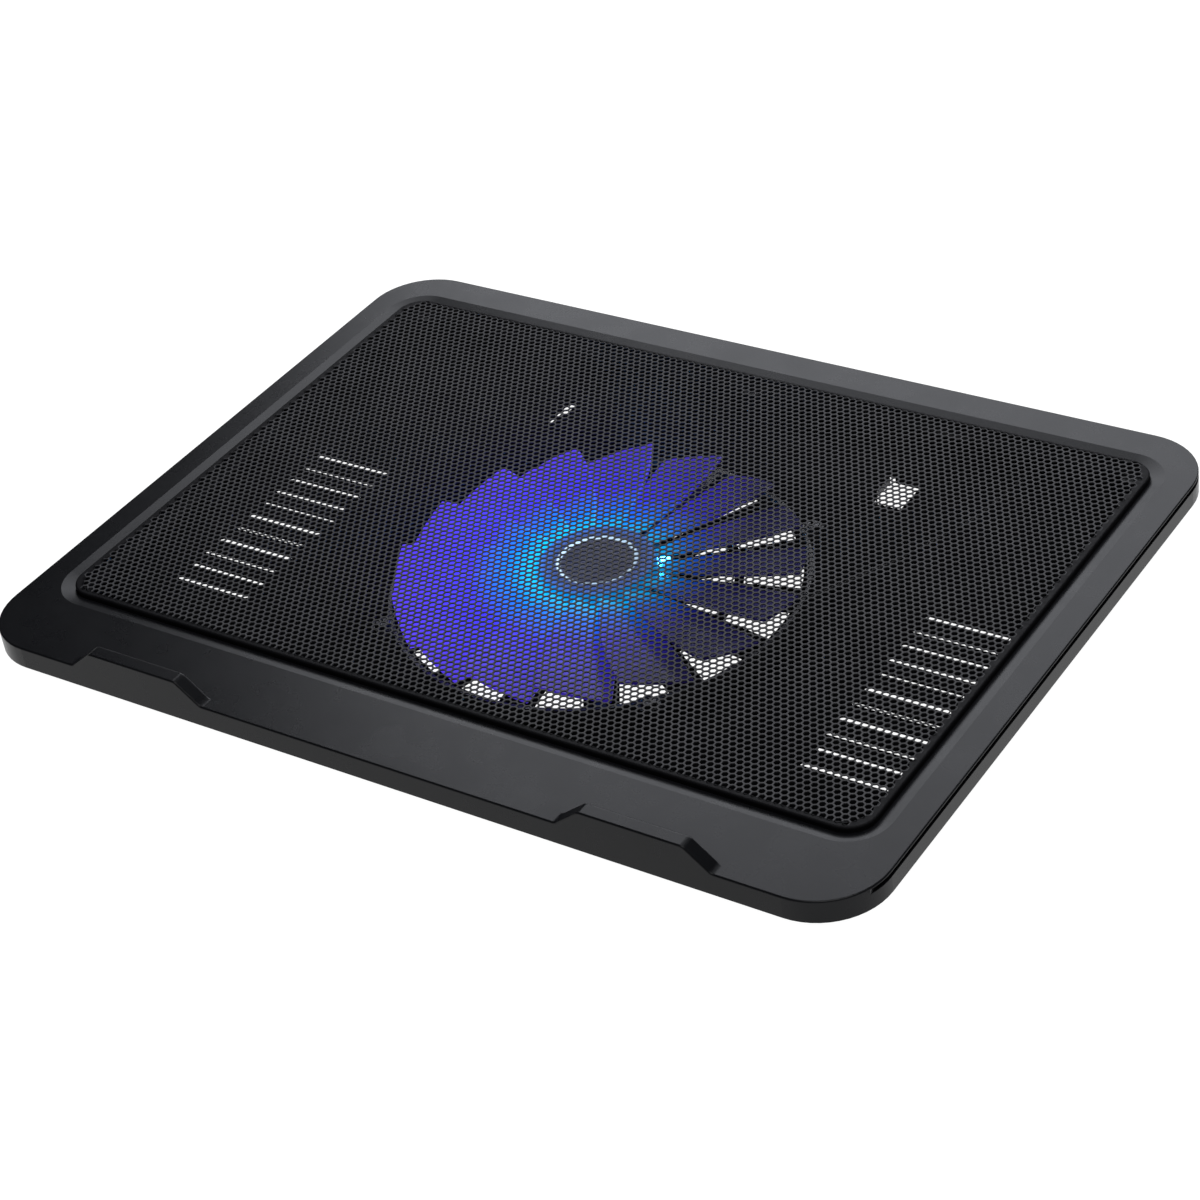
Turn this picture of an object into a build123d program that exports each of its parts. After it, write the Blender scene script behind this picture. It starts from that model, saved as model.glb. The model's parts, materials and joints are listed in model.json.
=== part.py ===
"""Laptop cooling pad with one 140 mm fan, a perforated deck and two flip-out rear feet.

Millimetres, +Z up, +X right, -Y towards the user. The origin is on the table,
under the middle of the pad.
"""
from build123d import *
import math
import os

os.makedirs("parts", exist_ok=True)

# ---------------------------------------------------------------- overall sizes
pad_w, pad_d, pad_corner = 350.0, 265.0, 24.0
pad_rear, pad_front = pad_d / 2, -pad_d / 2
wall = 2.2                      # rim wall of the top frame
edge_round = 0.6
groove_z, groove_h, groove_in, groove_run = 20.0, 1.8, 2.0, 20.0
fit = 0.15                      # gap between parts that are fitted together

# heights above the table
under_z = 3.0                   # underside of the tray, on top of the rubber pads
floor_z = 5.0                   # inner floor of the tray
rim_z = 14.2                    # lower edge of the rim
deck_z = 22.5                   # flat top of the frame
tab_z = 30.0                    # top of the two laptop stops

# ---------------------------------------------------------------- deck opening
mesh_w, mesh_d, mesh_corner = 320.6, 213.6, 10.0
mesh_y = 7.5                    # the opening sits towards the rear
bevel_w, bevel_h = 5.0, 1.0     # slope from the deck down to the mesh
ledge_z, ledge_t, ledge_in = 19.8, 1.5, 5.0
mesh_top, mesh_t = 23.5, 0.8

# ---------------------------------------------------------------- laptop stops
tab_x, tab_t = 99.0, 5.6
tab_base, tab_crest, tab_round = 28.2, 18.8, 3.0

# ---------------------------------------------------------------- tray
tray_w, tray_d, tray_corner = 322.0, 237.0, 16.0
tray_inset = 1.0                # step back of the tray under the rim
lip_t, lip_top = 1.6, 16.5      # upright lip that locates the tray inside the rim
vent_x, vent_y, vent_len, vent_w = 130.5, -15.0, 35.0, 3.4
vent_pitch, vents = 8.5, 11

# ---------------------------------------------------------------- case screws
screw_spots = [(x, y) for x in (-152.0, 0.0, 152.0) for y in (-112.0, 110.0)]
screw_r, screw_head_r, post_r = 1.5, 3.0, 4.2
seam_z = 12.3                   # where the posts of frame and tray meet
head_sink, head_t = 2.6, 1.8     # sunk hole and height of a screw head
thread_len = 11.0

# ---------------------------------------------------------------- fan
fan_r, grille_ribs, rib_w = 71.5, 15, 12.0
ring_in, ring_out, ring_top = 73.6, 75.0, 6.8
arms, arm_start, arm_w, arm_z = 5, 15.0, 3.6, 6.2
base_r, base_z = 27.5, 6.5      # motor base
hub_r, hub_inner, hub_bottom, hub_top = 21.0, 19.5, 7.9, 14.4
hub_ceiling = 12.9              # inside of the hub's top
blades, blade_tip_r, blade_start = 16, 72.6, 2.0
shaft_r, bearing_r, tube_r = 1.5, 2.75, 3.75
running = 0.05                  # radial clearance of a turning fit
ear_r, ear_top, fan_screw_r = 77.5, 7.5, 1.4
led_r, led_start = 24.4, 52.0
magnet_r, magnet_z, magnet_h = 16.4, 8.2, 3.7
yoke_z, yoke_wall = 8.1, 0.9
shaft_z, shaft_top = 6.9, 13.8
clip_r, clip_z, clip_t = 2.3, 6.95, 0.3
bearing_z, bearing_h, tube_top = 7.6, 3.9, 11.6
stator_r, stator_in, stator_z, stator_t = 15.8, 13.6, 8.4, 2.4
coil_x, coil_z = 9.6, 9.6
board_r, board_t = 15.5, 0.8
led_len, led_wide, led_t = 3.2, 2.8, 0.7
baffle_in, baffle_out, baffle_h = 83.0, 84.5, 4.0   # low wall on the floor around the fan

# ---------------------------------------------------------------- flip-out feet
foot_in, foot_out = 23.0, 65.0  # distances of the foot's ends from the middle
foot_mid, foot_len = (foot_in + foot_out) / 2, foot_out - foot_in
foot_bottom, foot_top, foot_end, tip_end = 3.4, 7.4, 95.2, 98.0
hinge_y, hinge_z, knuckle_r, pin_r = 77.6, 6.2, 2.8, 1.25
foot_gap = 0.6
pocket_front, pocket_rear, pocket_z = 74.2, 98.8, 9.8
pocket_wall = 1.8
notch_out, notch_front, notch_rear = 76.5, 79.4, 96.0

# ---------------------------------------------------------------- rubber pads
pad_x, front_pad_y, rear_pad_y = 118.0, -104.0, 102.0
seat_len, seat_wide, seat_deep = 36.0, 9.0, 0.5

# ---------------------------------------------------------------- cable outlet
outlet_x, outlet_z, outlet_r, collar_r, cable_r = 110.0, 17.1, 2.2, 2.8, 1.5
collar_t = 0.9
lead_r, lead_z = 0.45, 6.0        # the lead sinks into a channel along one arm


def side_name(side):
    return "right" if side > 0 else "left"


# ================================================================ laptop stop
# One of the two ridges at the front; it becomes part of the top frame.
with BuildPart() as laptop_stop:
    with BuildSketch(Plane.XZ.offset(-pad_front)) as stop_outline:
        with BuildLine():
            Polyline(
                (-tab_base - 6, deck_z - 2),
                (-tab_base - 6, deck_z),
                (-tab_base, deck_z),
                (-tab_crest, tab_z),
                (tab_crest, tab_z),
                (tab_base, deck_z),
                (tab_base + 6, deck_z),
                (tab_base + 6, deck_z - 2),
                close=True,
            )
        make_face()
        fillet(stop_outline.vertices().filter_by(lambda v: abs(v.X) < tab_base + 1), tab_round)
    extrude(amount=-tab_t)
    rear_edges = laptop_stop.edges().filter_by(
        lambda e: abs(e.center().Y - pad_front - tab_t) < 0.01 and e.center().Z > deck_z - 0.01
    )
    fillet(rear_edges, 0.9)


# ================================================================ top frame
with BuildPart() as top_frame:
    with BuildSketch(Plane.XY.offset(rim_z)):
        RectangleRounded(pad_w, pad_d, pad_corner)
    extrude(amount=deck_z - rim_z)

    # hollow inside the rim
    with BuildSketch(Plane.XY.offset(rim_z)):
        RectangleRounded(pad_w - 2 * wall, pad_d - 2 * wall, pad_corner - wall)
    extrude(amount=deck_z - 2.5 - rim_z, mode=Mode.SUBTRACT)

    # seat around the opening that carries the mesh panel
    with BuildSketch(Plane.XY.offset(ledge_z - ledge_t)):
        with Locations((0, mesh_y)):
            RectangleRounded(mesh_w + 12, mesh_d + 12, mesh_corner + 6)
    extrude(amount=ledge_t + 0.4)
    with BuildSketch(Plane.XY.offset(ledge_z)):
        with Locations((0, mesh_y)):
            RectangleRounded(mesh_w, mesh_d, mesh_corner)
    extrude(amount=5, mode=Mode.SUBTRACT)
    with BuildSketch(Plane.XY.offset(rim_z)):
        with Locations((0, mesh_y)):
            RectangleRounded(mesh_w - 2 * ledge_in, mesh_d - 2 * ledge_in, mesh_corner - ledge_in + 1)
    extrude(amount=10, mode=Mode.SUBTRACT)

    # laptop stops, flush with the front face
    for x in (-tab_x, tab_x):
        with Locations((x, 0, 0)):
            add(laptop_stop.part)

    # rounded upper edge, which runs up over the stops at the front
    front_edges = top_frame.edges().filter_by(
        lambda e: abs(e.center().Y - pad_front) < 0.01 and e.center().Z > deck_z - 0.01
    )
    outer_edges = top_frame.edges().filter_by(
        lambda e: abs(e.center().Z - deck_z) < 0.01
        and (abs(e.center().X) > 168 or e.center().Y > 130 or e.center().Y < -131)
    )
    fillet(ShapeList(set(front_edges + outer_edges)), edge_round)

    # slope from the deck down to the mesh panel
    with BuildSketch(Plane.XY.offset(deck_z - bevel_h)):
        with Locations((0, mesh_y)):
            RectangleRounded(mesh_w, mesh_d, mesh_corner)
    with BuildSketch(Plane.XY.offset(deck_z)):
        with Locations((0, mesh_y)):
            RectangleRounded(mesh_w + 2 * bevel_w, mesh_d + 2 * bevel_w, mesh_corner + bevel_w)
    loft(mode=Mode.SUBTRACT)

    # groove below the deck at the rear and the sides; it fades out at the front corners
    with BuildSketch(Plane.XY.offset(groove_z)):
        RectangleRounded(pad_w + 4, pad_d + 4, pad_corner + 2)
        with Locations((0, -groove_run / 2)):
            RectangleRounded(
                pad_w - 2 * groove_in,
                pad_d - 2 * groove_in + groove_run,
                pad_corner - groove_in,
                mode=Mode.SUBTRACT,
            )
    extrude(amount=groove_h, mode=Mode.SUBTRACT)

    # screw posts
    for x, y in screw_spots:
        post_top = deck_z - 2.3 if y < 0 else ledge_z - 0.4
        with BuildSketch(Plane.XY.offset(seam_z + fit)):
            with Locations((x, y)):
                Circle(post_r)
        extrude(amount=post_top - seam_z - fit)
        with BuildSketch(Plane.XY.offset(seam_z)):
            with Locations((x, y)):
                Circle(screw_r)
        extrude(amount=5.2, mode=Mode.SUBTRACT)

    # cable outlet through the rear wall
    with BuildSketch(Plane.XZ.offset(-pad_rear)):
        with Locations((outlet_x, outlet_z)):
            Circle(outlet_r)
    extrude(amount=2 * wall, mode=Mode.SUBTRACT)
    with BuildSketch(Plane.XZ.offset(-pad_rear)):
        with Locations((outlet_x, outlet_z)):
            Circle(collar_r)
    extrude(amount=collar_t, mode=Mode.SUBTRACT)
top_frame.part.label = "top_frame"
export_step(top_frame.part, "parts/top_frame.step")


# ================================================================ mesh panel
# A tray of sheet steel; the perforation is cut only in the visual model.
with BuildPart() as mesh_panel:
    with BuildSketch(Plane.XY.offset(ledge_z)):
        with Locations((0, mesh_y)):
            RectangleRounded(mesh_w - 2 * fit, mesh_d - 2 * fit, mesh_corner - fit)
    extrude(amount=mesh_top - ledge_z)
    fillet(mesh_panel.edges().group_by(Axis.Z)[-1], 0.8)
    with BuildSketch(Plane.XY.offset(ledge_z)):
        with Locations((0, mesh_y)):
            RectangleRounded(
                mesh_w - 2 * (fit + mesh_t), mesh_d - 2 * (fit + mesh_t), mesh_corner - fit - mesh_t
            )
    extrude(amount=mesh_top - mesh_t - ledge_z, mode=Mode.SUBTRACT)
mesh_panel.part.label = "mesh_panel"
export_step(mesh_panel.part, "parts/mesh_panel.step")


# ================================================================ tray
with BuildPart() as bottom_shell:
    with BuildSketch(Plane.XY.offset(under_z)):
        RectangleRounded(tray_w, tray_d, tray_corner)
    with BuildSketch(Plane.XY.offset(rim_z - 0.1)):
        RectangleRounded(pad_w - 2 * tray_inset, pad_d - 2 * tray_inset, pad_corner - tray_inset)
    loft()
    lip_out = wall + fit
    lip_in = lip_out + lip_t
    with BuildSketch(Plane.XY.offset(rim_z - 0.2)):
        RectangleRounded(pad_w - 2 * lip_out, pad_d - 2 * lip_out, pad_corner - lip_out)
    extrude(amount=lip_top - rim_z + 0.2)

    # inside of the tray
    with BuildSketch(Plane.XY.offset(floor_z)):
        RectangleRounded(tray_w - 5, tray_d - 5, tray_corner - 2)
    with BuildSketch(Plane.XY.offset(rim_z - 0.2)):
        RectangleRounded(pad_w - 2 * lip_in, pad_d - 2 * lip_in, pad_corner - lip_in)
    loft(mode=Mode.SUBTRACT)
    with BuildSketch(Plane.XY.offset(rim_z - 0.2)):
        RectangleRounded(pad_w - 2 * lip_in, pad_d - 2 * lip_in, pad_corner - lip_in)
    extrude(amount=lip_top, mode=Mode.SUBTRACT)
    fillet(bottom_shell.edges().group_by(Axis.Z)[0], 1.5)

    # low wall around the fan, open where the lead leaves
    with BuildSketch(Plane.XY.offset(floor_z)):
        Circle(baffle_out)
        Circle(baffle_in, mode=Mode.SUBTRACT)
        with Locations((0, 92)):
            Rectangle(180, 60, mode=Mode.SUBTRACT)
        with Locations((79, 27)):
            Rectangle(14, 14, mode=Mode.SUBTRACT)
    extrude(amount=baffle_h)

    # foot pockets: walls and roof, hollow, pin holes, finger notch at the outer end
    for side in (-1, 1):
        middle = (side * foot_mid, (pocket_front + pocket_rear) / 2)
        length, width = foot_len + 2 * foot_gap, pocket_rear - pocket_front
        with BuildSketch(Plane.XY.offset(floor_z - 1)):
            with Locations(middle):
                Rectangle(length + 2 * pocket_wall, width + 2 * pocket_wall)
        extrude(amount=pocket_z + 1.6 - floor_z + 1)
        with BuildSketch(Plane.XY.offset(under_z)):
            with Locations(middle):
                Rectangle(length, width)
        extrude(amount=pocket_z - under_z, mode=Mode.SUBTRACT)
        with BuildSketch(Plane.YZ.offset(side * foot_mid)):
            with Locations((hinge_y, hinge_z)):
                Circle(pin_r)
        extrude(amount=length / 2 + 2 * pocket_wall, both=True, mode=Mode.SUBTRACT)
        notch_in = foot_out + foot_gap - 0.1
        with BuildSketch(Plane.XY.offset(under_z)):
            with Locations((side * (notch_in + notch_out) / 2, (notch_front + notch_rear) / 2)):
                Rectangle(notch_out - notch_in, notch_rear - notch_front)
        extrude(amount=12, mode=Mode.SUBTRACT)

    # screw posts with sunk heads
    with BuildSketch(Plane.XY.offset(floor_z - 1)):
        with Locations(*screw_spots):
            Circle(post_r + 0.6)
    extrude(amount=seam_z - floor_z + 1)
    with BuildSketch(Plane.XY.offset(under_z)):
        with Locations(*screw_spots):
            Circle(screw_r)
    extrude(amount=seam_z, mode=Mode.SUBTRACT)
    with BuildSketch(Plane.XY.offset(under_z)):
        with Locations(*screw_spots):
            Circle(screw_head_r + 0.3)
    extrude(amount=head_sink, mode=Mode.SUBTRACT)

    # grille under the fan
    with BuildSketch(Plane.XY.offset(under_z)):
        Circle(fan_r)
        Circle(50.5, mode=Mode.SUBTRACT)
        Circle(47.5)
        Circle(base_r + 1, mode=Mode.SUBTRACT)
        with PolarLocations(fan_r / 2, grille_ribs, start_angle=arm_start):
            Rectangle(fan_r + 4, rib_w, mode=Mode.SUBTRACT)
    extrude(amount=floor_z - under_z, mode=Mode.SUBTRACT)

    # side vents
    with BuildSketch(Plane.XY.offset(under_z)):
        for side in (-1, 1):
            with Locations(*[
                (side * vent_x, vent_y + (row - (vents - 1) / 2) * vent_pitch) for row in range(vents)
            ]):
                SlotOverall(vent_len, vent_w)
    extrude(amount=floor_z - under_z, mode=Mode.SUBTRACT)

    # holes for the fan screws, seats for the rubber pads, gap in the lip for the cable
    with BuildSketch(Plane.XY.offset(under_z + 0.4)):
        with PolarLocations(ear_r, 4, start_angle=45):
            Circle(fan_screw_r)
    extrude(amount=4, mode=Mode.SUBTRACT)
    with BuildSketch(Plane.XY.offset(under_z)):
        with Locations(*[(x, y) for x in (-pad_x, pad_x) for y in (front_pad_y, rear_pad_y)]):
            SlotOverall(seat_len, seat_wide)
    extrude(amount=seat_deep, mode=Mode.SUBTRACT)
    with BuildSketch(Plane.XY.offset(rim_z)):
        with Locations((outlet_x, pad_rear - lip_in)):
            Rectangle(2 * collar_r + 2, 5)
    extrude(amount=lip_top, mode=Mode.SUBTRACT)
bottom_shell.part.label = "bottom_shell"
export_step(bottom_shell.part, "parts/bottom_shell.step")


# ================================================================ fan frame
with BuildPart() as fan_frame:
    with BuildSketch(Plane.XY.offset(floor_z)):
        Circle(ring_out)
        Circle(ring_in, mode=Mode.SUBTRACT)
    extrude(amount=ring_top - floor_z)
    with BuildSketch(Plane.XY.offset(floor_z)):
        Circle(base_r)
    extrude(amount=base_z - floor_z)
    with BuildSketch(Plane.XY.offset(floor_z)):
        with PolarLocations((base_r + ring_in) / 2, arms, start_angle=arm_start):
            Rectangle(ring_in - base_r + 2, arm_w)
    extrude(amount=arm_z - floor_z)
    with BuildSketch(Plane.XY.offset(base_z)):
        Circle(tube_r)
        Circle(bearing_r, mode=Mode.SUBTRACT)
    extrude(amount=tube_top - base_z)
    # ears
    with BuildSketch(Plane.XY.offset(floor_z)):
        with PolarLocations(ear_r, 4, start_angle=45):
            Circle(4)
        with PolarLocations((ear_r + ring_out) / 2 - 0.5, 4, start_angle=45):
            Rectangle(ear_r - ring_out + 1, 8)
    extrude(amount=ear_top - floor_z)
    with BuildSketch(Plane.XY.offset(floor_z)):
        with PolarLocations(ear_r, 4, start_angle=45):
            Circle(fan_screw_r)
    extrude(amount=ear_top, mode=Mode.SUBTRACT)
    # channel for the lead along one arm and through the ring's edge
    with BuildSketch(Plane.XY.offset(lead_z - lead_r - 0.05)):
        with PolarLocations((base_r + ring_out) / 2, 1, start_angle=arm_start):
            Rectangle(ring_out - base_r + 6, 2 * lead_r + 0.3)
    extrude(amount=2, mode=Mode.SUBTRACT)
fan_frame.part.label = "fan_frame"
export_step(fan_frame.part, "parts/fan_frame.step")


# ================================================================ fan rotor
# Each blade is lofted through three rounded sections, from the hub to the tip.
# section: distance from the axis, sideways shift, height, chord, pitch in degrees, thickness
sections = [
    (20.2, 0.0, 11.0, 9.5, -26.0, 1.5),
    (45.0, 0.5, 11.0, 23.0, -17.0, 1.3),
    (74.0, 2.0, 11.1, 26.0, -16.0, 1.1),
]
with BuildPart() as blade:
    for distance, shift, height, chord, pitch, thickness in sections:
        tilt = math.radians(pitch)
        place = Plane(
            (distance, shift, height), x_dir=(0, math.cos(tilt), math.sin(tilt)), z_dir=(1, 0, 0)
        )
        with BuildSketch(place):
            SlotOverall(chord, thickness)
    loft()
    with BuildSketch(Plane.XY):
        Circle(blade_tip_r)
    extrude(amount=30, mode=Mode.INTERSECT)

with BuildPart() as fan_rotor:
    with BuildSketch(Plane.XY.offset(hub_bottom)):
        Circle(hub_r)
    extrude(amount=hub_top - hub_bottom)
    fillet(fan_rotor.edges().group_by(Axis.Z)[-1], 1.0)
    with PolarLocations(0, blades, start_angle=blade_start):
        add(blade.part)
    with BuildSketch(Plane.XY.offset(hub_bottom)):
        Circle(hub_inner)
    extrude(amount=hub_ceiling - hub_bottom, mode=Mode.SUBTRACT)
    with BuildSketch(Plane.XY.offset(hub_ceiling)):
        Circle(shaft_r)
    extrude(amount=0.9, mode=Mode.SUBTRACT)
    # shallow round recess in the hub's top
    with BuildSketch(Plane.XY.offset(hub_top - 0.4)):
        Circle(14)
    extrude(amount=1, mode=Mode.SUBTRACT)
fan_rotor.part.label = "fan_rotor"
export_step(fan_rotor.part, "parts/fan_rotor.step")


# ================================================================ motor
with BuildPart() as rotor_yoke:
    with BuildSketch(Plane.XY.offset(yoke_z)):
        Circle(hub_inner - 0.05)
    extrude(amount=hub_ceiling - 0.05 - yoke_z)
    with BuildSketch(Plane.XY.offset(yoke_z)):
        Circle(hub_inner - yoke_wall)
    extrude(amount=4, mode=Mode.SUBTRACT)
    with BuildSketch(Plane.XY.offset(yoke_z)):
        Circle(shaft_r)
    extrude(amount=8, mode=Mode.SUBTRACT)
rotor_yoke.part.label = "rotor_yoke"
export_step(rotor_yoke.part, "parts/rotor_yoke.step")

with BuildPart() as rotor_magnet:
    with BuildSketch(Plane.XY.offset(magnet_z)):
        Circle(hub_inner - yoke_wall - 0.05)
        Circle(magnet_r, mode=Mode.SUBTRACT)
    extrude(amount=magnet_h)
rotor_magnet.part.label = "rotor_magnet"
export_step(rotor_magnet.part, "parts/rotor_magnet.step")

with BuildPart() as motor_shaft:
    with BuildSketch(Plane.XY.offset(shaft_z)):
        Circle(shaft_r)
    extrude(amount=shaft_top - shaft_z)
    chamfer(motor_shaft.edges().group_by(Axis.Z)[0], 0.2)
motor_shaft.part.label = "motor_shaft"
export_step(motor_shaft.part, "parts/motor_shaft.step")

with BuildPart() as shaft_clip:
    with BuildSketch(Plane.XY.offset(clip_z)):
        Circle(clip_r)
        Circle(shaft_r, mode=Mode.SUBTRACT)
    extrude(amount=clip_t)
shaft_clip.part.label = "shaft_clip"
export_step(shaft_clip.part, "parts/shaft_clip.step")

with BuildPart() as sleeve_bearing:
    with BuildSketch(Plane.XY.offset(bearing_z)):
        Circle(bearing_r)
        Circle(shaft_r + running, mode=Mode.SUBTRACT)
    extrude(amount=bearing_h)
sleeve_bearing.part.label = "sleeve_bearing"
export_step(sleeve_bearing.part, "parts/sleeve_bearing.step")

with BuildPart() as stator_core:
    with BuildSketch(Plane.XY.offset(stator_z)):
        Circle(stator_r)
        Circle(stator_in, mode=Mode.SUBTRACT)
        with PolarLocations((stator_r + stator_in) / 2, 4, start_angle=45):
            Rectangle(4, 4, mode=Mode.SUBTRACT)
        Circle(6)
        with PolarLocations(9.5, 4):
            Rectangle(9, 2.8)
        Circle(tube_r, mode=Mode.SUBTRACT)
    extrude(amount=stator_t)
stator_core.part.label = "stator_core"
export_step(stator_core.part, "parts/stator_core.step")

with BuildPart() as coil_windings:
    with PolarLocations(coil_x, 4):
        with Locations((0, 0, coil_z)):
            Box(5.2, 8.6, 3.6)
            Box(6, 2.9, 2.5, mode=Mode.SUBTRACT)
coil_windings.part.label = "coil_windings"
export_step(coil_windings.part, "parts/coil_windings.step")

with BuildPart() as fan_pcb:
    with BuildSketch(Plane.XY.offset(base_z)):
        Circle(board_r)
        Circle(tube_r + 0.1, mode=Mode.SUBTRACT)
    extrude(amount=board_t)
fan_pcb.part.label = "fan_pcb"
export_step(fan_pcb.part, "parts/fan_pcb.step")

with BuildPart() as leds:
    with PolarLocations(led_r, 4, start_angle=led_start):
        with Locations((0, 0, base_z + led_t / 2)):
            Box(led_len, led_wide, led_t)
leds.part.label = "leds"
export_step(leds.part, "parts/leds.step")

with BuildPart() as fan_screws:
    with PolarLocations(ear_r, 4, start_angle=45):
        with Locations((0, 0, ear_top)):
            Cylinder(2.8, 1.6, align=(Align.CENTER, Align.CENTER, Align.MIN))
            Cylinder(fan_screw_r, 4, align=(Align.CENTER, Align.CENTER, Align.MAX))
    fillet(fan_screws.edges().group_by(Axis.Z)[-1], 0.7)
    with BuildSketch(Plane.XY.offset(ear_top + 0.8)):
        with PolarLocations(ear_r, 4, start_angle=45):
            Rectangle(2.8, 0.6)
            Rectangle(0.6, 2.8)
    extrude(amount=2, mode=Mode.SUBTRACT)
fan_screws.part.label = "fan_screws"
export_step(fan_screws.part, "parts/fan_screws.step")


# ================================================================ case screws and pads
with BuildPart() as case_screws:
    head_z = under_z + head_sink - head_t
    with BuildSketch(Plane.XY.offset(head_z)):
        with Locations(*screw_spots):
            Circle(screw_head_r)
    extrude(amount=head_t)
    with BuildSketch(Plane.XY.offset(under_z + head_sink)):
        with Locations(*screw_spots):
            Circle(screw_r)
    extrude(amount=thread_len)
    with BuildSketch(Plane.XY.offset(head_z)):
        with Locations(*screw_spots):
            Rectangle(3.4, 0.7)
            Rectangle(0.7, 3.4)
    extrude(amount=1.0, mode=Mode.SUBTRACT)
case_screws.part.label = "case_screws"
export_step(case_screws.part, "parts/case_screws.step")

for name, pad_y in (("front_pads", front_pad_y), ("rear_pads", rear_pad_y)):
    with BuildPart() as pads:
        with BuildSketch(Plane.XY):
            with Locations((-pad_x, pad_y), (pad_x, pad_y)):
                SlotOverall(seat_len - 0.4, seat_wide - 0.4)
        extrude(amount=under_z + seat_deep)
        fillet(pads.edges().group_by(Axis.Z)[0], 0.8)
    pads.part.label = name
    export_step(pads.part, f"parts/{name}.step")


# ================================================================ flip-out feet
for side in (-1, 1):
    middle = side * foot_mid
    with BuildPart() as foot:
        with BuildSketch(Plane.XY.offset(foot_bottom)):
            with Locations((middle, (hinge_y + foot_end) / 2)):
                Rectangle(foot_len, foot_end - hinge_y)
        extrude(amount=foot_top - foot_bottom)
        fillet(foot.edges().filter_by(Axis.Z).group_by(Axis.Y)[-1], 2.5)
        with BuildSketch(Plane.YZ.offset(middle)):
            with Locations((hinge_y, hinge_z)):
                Circle(knuckle_r)
        extrude(amount=foot_len / 2, both=True)
        with BuildSketch(Plane.YZ.offset(middle)):
            with Locations((hinge_y, hinge_z)):
                Circle(pin_r + running + 0.03)
        extrude(amount=foot_len, both=True, mode=Mode.SUBTRACT)
        # two hollows in the upper side, a slot for the tip, a thumb scoop at the outer end
        with BuildSketch(Plane.XY.offset(foot_bottom + 1.6)):
            with Locations((middle - 10, 86.6), (middle + 10, 86.6)):
                RectangleRounded(17, 8.4, 1.5)
        extrude(amount=4, mode=Mode.SUBTRACT)
        with BuildSketch(Plane.XY.offset(foot_bottom + 1.4)):
            with Locations((middle, foot_end - 1)):
                Rectangle(34, 2)
        extrude(amount=1.2, mode=Mode.SUBTRACT)
        with BuildSketch(Plane.XY.offset(foot_bottom)):
            with Locations((side * foot_out, 88)):
                Circle(5)
        extrude(amount=1.2, mode=Mode.SUBTRACT)
    foot.part.label = f"{side_name(side)}_foot"
    export_step(foot.part, f"parts/{side_name(side)}_foot.step")

    with BuildPart() as tip:
        with BuildSketch(Plane.XY.offset(foot_bottom + 0.1)):
            with Locations((middle, (foot_end + tip_end) / 2)):
                RectangleRounded(36, tip_end - foot_end, 1.2)
        extrude(amount=foot_top - foot_bottom - 0.2)
        with BuildSketch(Plane.XY.offset(foot_bottom + 1.4)):
            with Locations((middle, foot_end - 0.4)):
                Rectangle(34, 3.2)
        extrude(amount=1.2)
    tip.part.label = f"{side_name(side)}_foot_tip"
    export_step(tip.part, f"parts/{side_name(side)}_foot_tip.step")

    with BuildPart() as pin:
        with BuildSketch(Plane.YZ.offset(middle)):
            with Locations((hinge_y, hinge_z)):
                Circle(pin_r)
        extrude(amount=foot_len / 2 + foot_gap + pocket_wall - 0.1, both=True)
    pin.part.label = f"{side_name(side)}_foot_pin"
    export_step(pin.part, f"parts/{side_name(side)}_foot_pin.step")


# ================================================================ cable outlet and lead
with BuildPart() as cable_grommet:
    with BuildSketch(Plane.XZ.offset(-pad_rear)):
        with Locations((outlet_x, outlet_z)):
            Circle(collar_r)
    extrude(amount=collar_t)
    with BuildSketch(Plane.XZ.offset(-pad_rear)):
        with Locations((outlet_x, outlet_z)):
            Circle(outlet_r)
    extrude(amount=wall + 1)
    with BuildSketch(Plane.XZ.offset(-(pad_rear - wall))):
        with Locations((outlet_x, outlet_z)):
            Circle(collar_r)
    extrude(amount=1)
    with BuildSketch(Plane.XZ.offset(-pad_rear)):
        with Locations((outlet_x, outlet_z)):
            Circle(cable_r)
    extrude(amount=2 * wall, mode=Mode.SUBTRACT)
cable_grommet.part.label = "cable_grommet"
export_step(cable_grommet.part, "parts/cable_grommet.step")

# The lead runs from the circuit board along one arm, out through the fan's ring
# and over the floor of the tray to the outlet.
along_arm = (math.cos(math.radians(arm_start)), math.sin(math.radians(arm_start)))
lead_points = [
    (15.6 * along_arm[0], 15.6 * along_arm[1], base_z + 0.5),
    (25.0 * along_arm[0], 25.0 * along_arm[1], base_z + 0.5),
    (34.0 * along_arm[0], 34.0 * along_arm[1], lead_z),
    (76.0 * along_arm[0], 76.0 * along_arm[1], lead_z),
    (90.0, 50.0, floor_z + 0.6),
    (104.0, 84.0, floor_z + 0.6),
    (109.0, 112.0, floor_z + 1.5),
    (outlet_x, 123.0, 15.0),
    (outlet_x, 129.0, outlet_z),
]
with BuildPart() as fan_lead:
    with BuildLine():
        Polyline(*lead_points)
    with BuildSketch(Plane(lead_points[0], z_dir=(*along_arm, 0))):
        Circle(lead_r)
    sweep(transition=Transition.ROUND)
fan_lead.part.label = "fan_lead"
export_step(fan_lead.part, "parts/fan_lead.step")
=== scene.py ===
import json
import math

import bpy
from mathutils import Matrix, Vector
from mathutils.geometry import delaunay_2d_cdt


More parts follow.
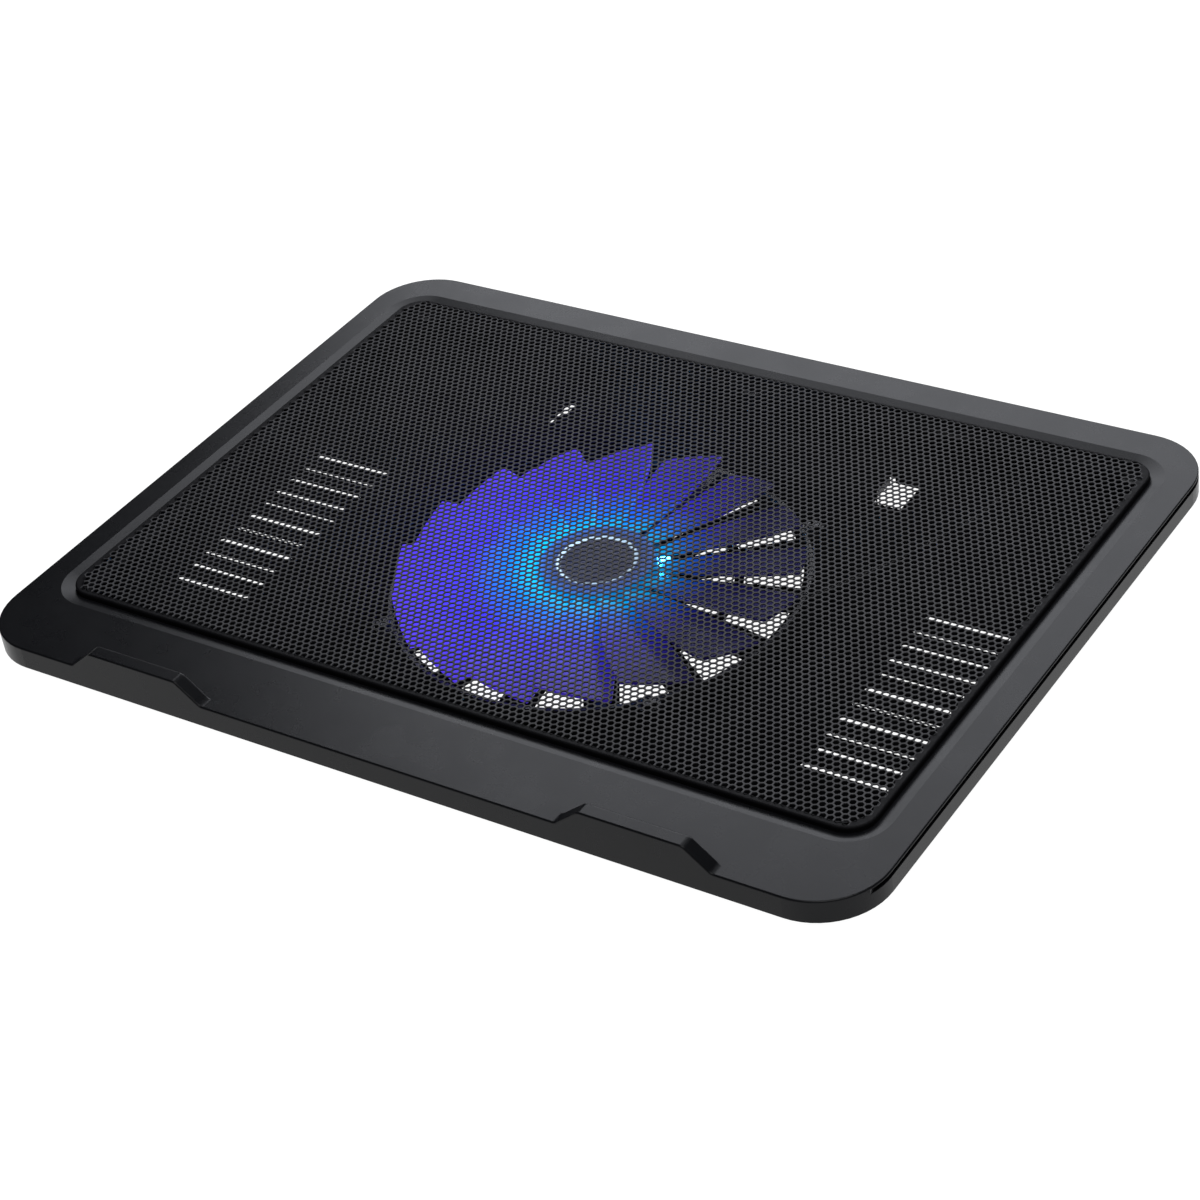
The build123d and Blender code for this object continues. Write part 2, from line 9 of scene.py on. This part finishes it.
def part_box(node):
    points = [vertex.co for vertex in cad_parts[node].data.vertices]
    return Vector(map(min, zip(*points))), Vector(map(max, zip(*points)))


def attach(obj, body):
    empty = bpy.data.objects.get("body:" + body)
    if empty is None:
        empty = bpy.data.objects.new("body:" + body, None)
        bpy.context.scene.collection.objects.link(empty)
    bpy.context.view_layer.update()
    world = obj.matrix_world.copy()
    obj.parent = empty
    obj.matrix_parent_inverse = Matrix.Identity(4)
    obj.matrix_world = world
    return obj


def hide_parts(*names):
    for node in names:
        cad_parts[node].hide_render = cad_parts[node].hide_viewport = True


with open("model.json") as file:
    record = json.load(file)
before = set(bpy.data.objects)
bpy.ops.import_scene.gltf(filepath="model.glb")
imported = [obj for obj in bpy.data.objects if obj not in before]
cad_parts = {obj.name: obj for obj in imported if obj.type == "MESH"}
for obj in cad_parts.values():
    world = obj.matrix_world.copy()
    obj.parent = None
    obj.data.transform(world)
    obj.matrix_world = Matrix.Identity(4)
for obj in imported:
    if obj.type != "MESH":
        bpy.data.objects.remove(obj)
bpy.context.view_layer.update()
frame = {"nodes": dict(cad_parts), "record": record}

MM = 0.001

# ---------------------------------------------------------------- places read from the frame
stops_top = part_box("top_frame")[1].z
panel_low, panel_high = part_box("mesh_panel")
fan_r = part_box("fan_rotor")[1].x
stop_rise = 7.5 * MM                       # the laptop stops stand this far above the deck
deck_z = stops_top - stop_rise


# ================================================================ materials
class Paint:
    """A Principled material and short ways to add the nodes that drive it.

    low and high are reached where the driving value is at start and at end.
    """

    def __init__(self, name, color, rough, metal=0.0, specular=0.5):
        self.mat = bpy.data.materials.new(name)
        self.mat.use_nodes = True
        self.tree = self.mat.node_tree
        self.shader = self.tree.nodes["Principled BSDF"]
        self.set("Base Color", (*color, 1))
        self.set("Roughness", rough)
        self.set("Metallic", metal)
        self.set("Specular IOR Level", specular)
        self.coords = self.node("ShaderNodeTexCoord").outputs["Object"]
        self.last_normal = None

    def set(self, socket, value):
        self.shader.inputs[socket].default_value = value

    def node(self, kind, **inputs):
        n = self.tree.nodes.new(kind)
        for key, value in inputs.items():
            n.inputs[key].default_value = value
        return n

    def link(self, a, b):
        self.tree.links.new(a, b)

    def noise(self, scale, detail=3.0, stretch=None):
        n = self.node("ShaderNodeTexNoise", Scale=scale, Detail=detail)
        source = self.coords
        if stretch:
            mapping = self.node("ShaderNodeMapping")
            mapping.inputs["Scale"].default_value = stretch
            self.link(source, mapping.inputs["Vector"])
            source = mapping.outputs["Vector"]
        self.link(source, n.inputs["Vector"])
        return n.outputs["Fac"]

    def ramp(self, value, stops):
        n = self.node("ShaderNodeValToRGB")
        elements = n.color_ramp.elements
        while len(elements) < len(stops):
            elements.new(0.5)
        for element, (place, color) in zip(elements, stops):
            element.position = place
            element.color = (*color, 1)
        self.link(value, n.inputs["Fac"])
        return n.outputs["Color"]

    def span(self, value, low, high, start=0.3, end=0.7):
        n = self.node("ShaderNodeMapRange")
        ends = {"From Min": start, "From Max": end, "To Min": low, "To Max": high}
        for socket, v in ends.items():
            n.inputs[socket].default_value = v
        self.link(value, n.inputs["Value"])
        return n.outputs["Result"]

    def tint(self, value, low, high, start=0.3, end=0.7):
        color = self.ramp(value, [(start, low), (end, high)])
        self.link(color, self.shader.inputs["Base Color"])
        return self

    def gloss(self, value, low, high, start=0.3, end=0.7):
        rough = self.span(value, low, high, start, end)
        self.link(rough, self.shader.inputs["Roughness"])
        return self

    def bump(self, value, strength, distance):
        """Adds a bump, distance metres high, on top of the ones before it."""
        n = self.node("ShaderNodeBump", Strength=strength, Distance=distance)
        self.link(value, n.inputs["Height"])
        if self.last_normal:
            self.link(self.last_normal, n.inputs["Normal"])
        self.last_normal = n.outputs["Normal"]
        self.link(self.last_normal, self.shader.inputs["Normal"])
        return self


def shell_plastic():
    """Satin charcoal ABS: fine moulded grain, faint handling marks."""
    p = Paint("satin_shell", (0.008, 0.0083, 0.0094), 0.28, specular=0.13)
    p.tint(p.noise(45, 4), (0.0055, 0.0058, 0.0068), (0.0075, 0.0079, 0.0092))
    p.gloss(p.noise(70, 5), 0.26, 0.30)
    p.bump(p.noise(5200, 2), 0.12, 0.00006)
    p.bump(p.noise(160, 3), 0.03, 0.0001)
    return p.mat


def tray_plastic():
    """Black ABS with a coarser grain.

    Faces that look up in the world, the inside of the tray at rest, carry painted shade: darker, and
    duller.
    """
    # painted shade: the inside colour, near black, stands in for the shade inside the tray
    outside, inside = (0.015, 0.015, 0.016), (0.003, 0.003, 0.0035)
    p = Paint("tray_plastic", outside, 0.5, specular=0.3)
    facing = p.node("ShaderNodeSeparateXYZ")
    p.link(p.node("ShaderNodeNewGeometry").outputs["Normal"], facing.inputs[0])
    # painted shade mask: 1 where faces look up or sideways, 0 where they look down
    inner = p.span(facing.outputs["Z"], 0, 1, -0.15, 0.0)
    p.tint(inner, outside, inside, 0, 1)
    p.link(p.span(inner, 0.35, 0.0, 0, 1), p.shader.inputs["Specular IOR Level"])
    p.gloss(p.noise(90, 4), 0.42, 0.56)
    p.bump(p.noise(2600, 3), 0.25, 0.00008)
    return p.mat


def mesh_paint():
    """Dark powder coat on punched steel."""
    p = Paint("black_mesh", (0.055, 0.055, 0.058), 0.6, specular=0.12)
    p.tint(p.noise(60, 4), (0.048, 0.048, 0.051), (0.064, 0.064, 0.068))
    p.gloss(p.noise(900, 3), 0.52, 0.68)
    p.bump(p.noise(9000, 2), 0.15, 0.00003)
    return p.mat


def rim_shade_paint():
    """The same coat painted dark and dull: painted shade for the shade around the bent edge."""
    p = Paint("mesh_rim_painted_shade", (0.006, 0.006, 0.007), 0.55, specular=0.06)
    p.tint(p.noise(80, 4), (0.005, 0.005, 0.006), (0.008, 0.008, 0.009))
    p.gloss(p.noise(600, 3), 0.48, 0.62)
    p.bump(p.noise(5000, 2), 0.15, 0.00003)
    return p.mat


def fan_plastic():
    p = Paint("fan_black", (0.022, 0.022, 0.025), 0.4)
    p.tint(p.noise(80, 3), (0.018, 0.018, 0.02), (0.028, 0.028, 0.031))
    p.gloss(p.noise(120, 3), 0.35, 0.5)
    p.bump(p.noise(3800, 2), 0.1, 0.00005)
    return p.mat


def blade_plastic():
    """Opaque plastic with a painted glow: cyan beside the hub, violet at the tips.

    The glow is painted light standing in for the LEDs' light. One side is painted brighter than the
    other.
    The pattern belongs to the rotor and turns with it.
    """
    painted_glow_side = math.radians(192)            # painted light: the side of the fan painted with the most glow at rest
    painted_ring_glow = (0.5, 0.7, 0.9)            # painted glow: a thin bright ring on the hub
    dim, bright = 0.05, 2.3                 # strength of the painted glow on either side of the fan
    p = Paint("fan_clear", (0.02, 0.02, 0.07), 0.3, specular=0.3)
    p.gloss(p.noise(90, 3), 0.22, 0.36)
    p.bump(p.noise(1500, 2), 0.05, 0.00004)
    length = p.node("ShaderNodeVectorMath")
    length.operation = "LENGTH"
    flat = p.node("ShaderNodeVectorMath")
    flat.operation = "MULTIPLY"
    flat.inputs[1].default_value = (1, 1, 0)
    p.link(p.coords, flat.inputs[0])
    p.link(flat.outputs["Vector"], length.inputs[0])
    reach = p.span(length.outputs["Value"], 0, 1, 0.0, fan_r)
    # painted light: the glow's colour by distance from the hub
    glow = p.ramp(reach, [
        (0.178, (0.0, 0.004, 0.02)),
        (0.184, painted_ring_glow),
        (0.196, painted_ring_glow),
        (0.202, (0.0, 0.02, 0.12)),
        (0.27, (0.0, 0.10, 0.5)),
        (0.32, (0.0, 0.50, 1.0)),
        (0.44, (0.0, 0.17, 1.0)),
        (0.62, (0.035, 0.025, 0.75)),
        (0.98, (0.045, 0.022, 0.42)),
    ])
    p.link(glow, p.shader.inputs["Emission Color"])
    # painted light: one side of the fan glows brighter than the other
    side = p.node("ShaderNodeVectorMath")
    side.operation = "DOT_PRODUCT"
    side.inputs[1].default_value = (math.cos(painted_glow_side), math.sin(painted_glow_side), 0)
    p.link(p.coords, side.inputs[0])
    power = p.span(side.outputs["Value"], dim, bright, -0.6 * fan_r, 0.7 * fan_r)
    p.link(power, p.shader.inputs["Emission Strength"])
    return p.mat


def steel(name, color=(0.6, 0.6, 0.62), rough=0.28, brushed=(1, 1, 12)):
    p = Paint(name, color, rough, metal=1.0)
    streaks = p.noise(700, 3, brushed)
    dark = tuple(c * 0.8 for c in color)
    p.tint(streaks, dark, color)
    p.gloss(streaks, rough - 0.06, rough + 0.12)
    p.bump(streaks, 0.06, 0.00003)
    return p.mat


def ferrite():
    p = Paint("ferrite", (0.05, 0.045, 0.04), 0.7)
    p.tint(p.noise(900, 4), (0.035, 0.03, 0.028), (0.07, 0.065, 0.06))
    p.bump(p.noise(2500, 4), 0.3, 0.00008)
    return p.mat


def copper_wire():
    p = Paint("copper_wire", (0.6, 0.25, 0.1), 0.3, metal=1.0)
    turns = p.node("ShaderNodeTexWave", Scale=900.0, Distortion=0.6)
    turns.bands_direction = "Z"
    p.link(p.coords, turns.inputs["Vector"])
    p.tint(turns.outputs["Fac"], (0.28, 0.09, 0.03), (0.7, 0.3, 0.12), 0.2, 0.8)
    p.bump(turns.outputs["Fac"], 0.7, 0.0001)
    return p.mat


def circuit_board():
    p = Paint("circuit_board", (0.03, 0.16, 0.07), 0.35)
    cells = p.node("ShaderNodeTexVoronoi", Scale=420.0)
    p.link(p.coords, cells.inputs["Vector"])
    p.tint(cells.outputs["Distance"], (0.02, 0.10, 0.045), (0.05, 0.22, 0.10), 0.2, 0.6)
    p.bump(cells.outputs["Distance"], 0.2, 0.00005)
    return p.mat


def led_lens():
    p = Paint("led_lens", (0.3, 0.5, 1.0), 0.15)
    p.gloss(p.noise(2000, 2), 0.1, 0.25)
    p.set("Emission Color", (0.05, 0.45, 1.0, 1))
    p.set("Emission Strength", 18.0)
    return p.mat


def rubber(name="soft_rubber", color=(0.02, 0.02, 0.021)):
    p = Paint(name, color, 0.75, specular=0.3)
    lighter = tuple(c * 1.6 for c in color)
    p.tint(p.noise(350, 4), color, lighter)
    p.gloss(p.noise(500, 3), 0.65, 0.85)
    p.bump(p.noise(2600, 4), 0.35, 0.0001)
    return p.mat


def foot_plastic():
    p = Paint("foot_plastic", (0.025, 0.026, 0.028), 0.45)
    p.tint(p.noise(90, 4), (0.02, 0.021, 0.023), (0.034, 0.035, 0.038))
    p.gloss(p.noise(110, 4), 0.4, 0.55)
    p.bump(p.noise(3000, 2), 0.25, 0.00008)
    return p.mat


materials = {
    "satin_shell": shell_plastic(),
    "tray_plastic": tray_plastic(),
    "black_mesh": mesh_paint(),
    "fan_black": fan_plastic(),
    "fan_clear": blade_plastic(),
    "bare_steel": steel("bare_steel"),
    "ferrite": ferrite(),
    "bronze": steel("bronze", (0.55, 0.36, 0.18), 0.4, (1, 1, 1)),
    "copper_wire": copper_wire(),
    "circuit_board": circuit_board(),
    "led_lens": led_lens(),
    "black_screw": steel("black_screw", (0.08, 0.08, 0.085), 0.35, (1, 1, 1)),
    "soft_rubber": rubber(),
    "foot_plastic": foot_plastic(),
    "lead_jacket": rubber("lead_jacket", (0.015, 0.015, 0.016)),
}
for part in frame["record"]["subparts"]:
    for place in frame["nodes"][part["node"]].material_slots:
        place.material = materials[part["material_slot"]]


# ================================================================ perforated deck
hex_pitch = 2.66 * MM
hex_row = hex_pitch * math.sqrt(3) / 2
web = 0.56 * MM
sheet = 0.45 * MM
roll = 0.8 * MM                             # rounded upper edge of the panel
hole_margin = 0.05 * MM                     # least flat left between a hole and the roll
panel_corner = 9.85 * MM
strips = 3                                  # the perforated sheet is made in strips along X
corner_steps = 10
roll_steps = 6
inner_roll_steps = 4
weld = 1e-7                                 # points closer than this are one point

hole_reach = (hex_pitch - web) / math.sqrt(3)
cell_reach = hex_pitch / math.sqrt(3)
hex_turns = [math.radians(30 + 60 * k) for k in range(6)]
middle_x, middle_y = (panel_low.x + panel_high.x) / 2, (panel_low.y + panel_high.y) / 2
half_x, half_y = (panel_high.x - panel_low.x) / 2, (panel_high.y - panel_low.y) / 2
sheet_top, sheet_under = panel_high.z, panel_high.z - sheet


def inside_panel(x, y, inset):
    """True if a point lies in the panel's rounded outline, drawn in by inset."""
    r = panel_corner - inset
    dx = abs(x - middle_x) - (half_x - inset - r)
    dy = abs(y - middle_y) - (half_y - inset - r)
    return math.hypot(max(dx, 0), max(dy, 0)) <= r and dx <= r and dy <= r


def panel_outline(inset):
    """The rounded outline as points, drawn in by inset."""
    r = panel_corner - inset
    reach_x, reach_y = half_x - inset - r, half_y - inset - r
    points = []
    for corner, (sx, sy) in enumerate(((1, 1), (-1, 1), (-1, -1), (1, -1))):
        for k in range(corner_steps + 1):
            a = math.radians(90 * corner + 90 * k / corner_steps)
            x = middle_x + sx * reach_x + r * math.cos(a)
            y = middle_y + sy * reach_y + r * math.sin(a)
            points.append((x, y))
    return points


def hexagon(x, y, reach):
    return [(x + reach * math.cos(a), y + reach * math.sin(a)) for a in hex_turns]


def key(x, y):
    """A point in millimetres, rounded so that neighbours find the same corner."""
    return round(x / MM, 3), round(y / MM, 3)


def cell_corners(x, y):
    return [key(*p) for p in hexagon(x, y, cell_reach)]


def hex_cells():
    """Centres of the hexagons whose holes fit inside the flat of the panel."""
    columns = int(half_x / hex_pitch) + 2
    rows = int(half_y / hex_row) + 2
    for row in range(-rows, rows + 1):
        for column in range(-columns, columns + 1):
            x = middle_x + (column + (row % 2) / 2) * hex_pitch
            y = middle_y + row * hex_row
            if all(inside_panel(*p, roll + hole_margin) for p in hexagon(x, y, hole_reach)):
                yield x, y


def lone_edges(loops):
    """Edges that belong to one loop only, each in the direction of that loop."""
    found = {}
    for loop in loops:
        for k in range(len(loop)):
            a, b = loop[k], loop[(k + 1) % len(loop)]
            found.setdefault(frozenset((a, b)), []).append((a, b))
    return [pairs[0] for pairs in found.values() if len(pairs) == 1]


def new_piece(name, vertices, faces, slot):
    """A mesh that rides the base and stands in for the plain panel."""
    mesh = bpy.data.meshes.new(name)
    mesh.from_pydata(vertices, [], faces)
    mesh.validate()
    piece = bpy.data.objects.new(name, mesh)
    bpy.context.scene.collection.objects.link(piece)
    mesh.materials.append(materials[slot])
    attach(piece, "base")
    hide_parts("mesh_panel")
    return piece


def deck_strip(name, cells):
    """Hexagonal webs with walls through the sheet."""
    vertices, faces, index = [], [], {}

    def corner(point, z):
        """Vertex shared between neighbouring cells."""
        if (point, z) not in index:
            index[point, z] = len(vertices)
            vertices.append((point[0] * MM, point[1] * MM, z))
        return index[point, z]

    top, under = sheet_top, sheet_under
    loops = []
    for x, y in cells:
        outer = cell_corners(x, y)
        loops.append(outer)
        first = len(vertices)
        for z in (top, under):
            vertices.extend((*p, z) for p in hexagon(x, y, hole_reach))
        for k in range(6):
            m = (k + 1) % 6
            a, b = first + k, first + m
            faces.append((corner(outer[k], top), corner(outer[m], top), b, a))
            faces.append((a, b, b + 6, a + 6))
            faces.append((corner(outer[m], under), corner(outer[k], under), a + 6, b + 6))
    for a, b in lone_edges(loops):
        faces.append((corner(a, under), corner(b, under), corner(b, top), corner(a, top)))
    return new_piece(name, vertices, faces, "black_mesh")


def grid_place(x, y):
    """A point as quarter pitches and half rows from the origin."""
    return round(x / hex_pitch * 4), round(y / hex_row * 2)


def in_cell(x, y, taken):
    """True if a point lies in one of the hexagonal cells, whose grid places are taken.

    A cell's middle is taken at its grid place. The rows are counted from the middle of the
    panel, not from the origin, so that place is about 0.56 mm off along Y, and some
    triangles of the margin are kept or dropped wrongly.
    """
    column, row = grid_place(x, y)
    for i in range(column - 4, column + 5):
        for j in range(row - 4, row + 5):
            if (i, j) in taken:
                dx, dy = abs(x - i * hex_pitch / 4), abs(y - j * hex_row / 2)
                if dx < hex_pitch / 2 and dx / 2 + dy * math.sqrt(3) / 2 < hex_pitch / 2:
                    return True
    return False


def rim_margin(cells, ring):
    """Places and triangles of the flat margin between the cells and the roll."""
    edges = lone_edges([cell_corners(x, y) for x, y in cells])
    points = sorted({p for pair in edges for p in pair})
    number = {p: i for i, p in enumerate(points)}
    inner_edges = [(number[a], number[b]) for a, b in edges]
    flat = [Vector((p[0] * MM, p[1] * MM)) for p in points]
    first = len(flat)
    flat += [Vector(p) for p in ring]
    ring_edges = [(first + k, first + (k + 1) % len(ring)) for k in range(len(ring))]
    places, _, triangles, _, _, _ = delaunay_2d_cdt(flat, inner_edges + ring_edges, [], 0, weld)
    taken = {grid_place(x, y) for x, y in cells}
    margin = []
    for t in triangles:
        x = sum(places[i].x for i in t) / 3
        y = sum(places[i].y for i in t) / 3
        if inside_panel(x, y, roll) and not in_cell(x, y, taken):
            margin.append(t)
    return places, margin


def rim_profile():
    """Inset and height of the loops over the roll, down the wall and back up inside."""
    profile = []
    for k in range(1, roll_steps + 1):
        a = math.radians(90 * k / roll_steps)
        profile.append((roll * (1 - math.sin(a)), sheet_top - roll * (1 - math.cos(a))))
    profile += [(0.0, panel_low.z), (sheet, panel_low.z), (sheet, sheet_top - roll)]
    inner = roll - sheet
    for k in range(1, inner_roll_steps):
        a = math.radians(90 * k / inner_roll_steps)
        profile.append((roll - inner * math.cos(a), sheet_under - inner * (1 - math.sin(a))))
    return profile


def deck_rim(cells):
    """The solid edge of the panel: flat margin, roll and side wall."""
    ring = panel_outline(roll)
    places, margin = rim_margin(cells, ring)
    count = len(places)
    vertices = [(p.x, p.y, z) for z in (sheet_top, sheet_under) for p in places]
    faces = [tuple(t) for t in margin]
    faces += [tuple(i + count for i in reversed(t)) for t in margin]
    on_ring = {key(*p) for p in ring}
    for a, b in lone_edges(margin):
        if key(*places[a]) not in on_ring or key(*places[b]) not in on_ring:
            faces.append((b, a, a + count, b + count))
    ring_index = {key(p.x, p.y): i for i, p in enumerate(places)}
    loops = [[ring_index[key(*p)] for p in ring]]
    for inset, z in rim_profile():
        first = len(vertices)
        vertices.extend((*p, z) for p in panel_outline(inset))
        loops.append(list(range(first, len(vertices))))
    loops.append([i + count for i in loops[0]])
    for a, b in zip(loops, loops[1:]):
        for k in range(len(ring)):
            m = (k + 1) % len(ring)
            faces.append((a[k], b[k], b[m], a[m]))
    rim = new_piece("deck_rim", vertices, faces, "black_mesh")
    # painted shade: the rim wears the dark copy of the mesh coat
    rim.material_slots[0].material = rim_shade_paint()


def perforated_deck():
    cells = list(hex_cells())
    width = (panel_high.x - panel_low.x) / strips
    for strip in range(strips):
        x_from = panel_low.x + strip * width
        mine = [c for c in cells if x_from <= c[0] < x_from + width]
        deck_strip(f"deck_mesh_{strip + 1}", mine)
    deck_rim(cells)


perforated_deck()


# ================================================================ floor, light and camera
def glowing_floor():
    """A pale sheet much larger than the view, bright enough to hide the pad's shadow."""
    size, low = 3.0, -0.1 * MM
    corners = [(-size, -size, low), (size, -size, low), (size, size, low), (-size, size, low)]
    mesh = bpy.data.meshes.new("floor")
    mesh.from_pydata(corners, [], [(0, 1, 2, 3)])
    floor = bpy.data.objects.new("floor", mesh)
    bpy.context.scene.collection.objects.link(floor)
    p = Paint("floor", (0.15, 0.15, 0.15), 0.9, specular=0.0)
    p.set("Emission Color", (1, 1, 1, 1))
    p.set("Emission Strength", 1.0)
    mesh.materials.append(p.mat)


def add_lamp(name, data, place):
    lamp = bpy.data.objects.new(name, data)
    bpy.context.scene.collection.objects.link(lamp)
    lamp.location = place
    lamp.visible_camera = False
    return lamp


def softbox(name, place, size, power, color=(1, 1, 1)):
    """A rectangular lamp that faces the middle of the pad."""
    target = Vector((0, 0, 0.02))
    data = bpy.data.lights.new(name, "AREA")
    data.shape = "RECTANGLE"
    data.size, data.size_y = size
    data.energy = power
    data.color = color
    lamp = add_lamp(name, data, place)
    lamp.rotation_euler = (target - Vector(place)).to_track_quat("-Z", "Y").to_euler()


def studio():
    """Two softboxes, and a world that is pale to look at and nearly dark as a light."""
    world = bpy.data.worlds.new("studio")
    world.use_nodes = True
    tree = world.node_tree
    path = tree.nodes.new("ShaderNodeLightPath")
    mix = tree.nodes.new("ShaderNodeMix")
    mix.data_type = "RGBA"
    mix.inputs["A"].default_value = (0.02, 0.02, 0.021, 1)
    mix.inputs["B"].default_value = (0.97, 0.97, 0.97, 1)
    tree.links.new(path.outputs["Is Camera Ray"], mix.inputs["Factor"])
    tree.links.new(mix.outputs["Result"], tree.nodes["Background"].inputs["Color"])
    bpy.context.scene.world = world
    bpy.context.scene.view_settings.view_transform = "Standard"
    softbox("key", (-0.245, 0.981, 0.755), (1.33, 0.75), 13.5, (0.92, 0.94, 1.0))
    softbox("top", (0.35, -0.25, 1.3), (0.8, 0.8), 9.0)


def fan_light():
    """Light that the four LEDs throw on the blades, the ring and the walls of the tray."""
    first_led = 52                          # degrees from +X to the first LED
    inset, lift = 0.5 * MM, 1.2 * MM        # from the outer top edge of the LEDs
    leds_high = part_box("leds")[1]
    reach = leds_high.x - inset
    for k in range(4):
        a = math.radians(first_led + 90 * k)
        name = f"led_light_{k + 1}"
        data = bpy.data.lights.new(name, "POINT")
        data.energy = 0.12
        data.color = (0.02, 0.35, 1.0)
        data.shadow_soft_size = 2 * MM
        add_lamp(name, data, (reach * math.cos(a), reach * math.sin(a), leds_high.z + lift))


def photo_camera():
    """A camera to the front right of the pad, looking down on the deck with a slight roll."""
    azimuth, elevation = math.radians(37.85), math.radians(35.53)
    roll_angle = math.radians(-8.71)
    distance = 1.0
    target = Vector((20.9 * MM, -28.7 * MM, deck_z))
    back = Vector((math.sin(azimuth) * math.cos(elevation), -math.cos(azimuth) * math.cos(elevation),
                   math.sin(elevation)))
    right = Vector((math.cos(azimuth), math.sin(azimuth), 0))
    up = back.cross(right)
    turned_right = right * math.cos(roll_angle) + up * math.sin(roll_angle)
    turned_up = up * math.cos(roll_angle) - right * math.sin(roll_angle)
    data = bpy.data.cameras.new("camera")
    data.sensor_width = 36.0
    data.lens = 88.92
    data.clip_start = 0.05
    data.clip_end = 20
    camera = bpy.data.objects.new("camera", data)
    bpy.context.scene.collection.objects.link(camera)
    turn = Matrix((turned_right, turned_up, back)).transposed().to_4x4()
    camera.matrix_world = Matrix.Translation(target + back * distance) @ turn
    bpy.context.scene.camera = camera


glowing_floor()
studio()
fan_light()
photo_camera()
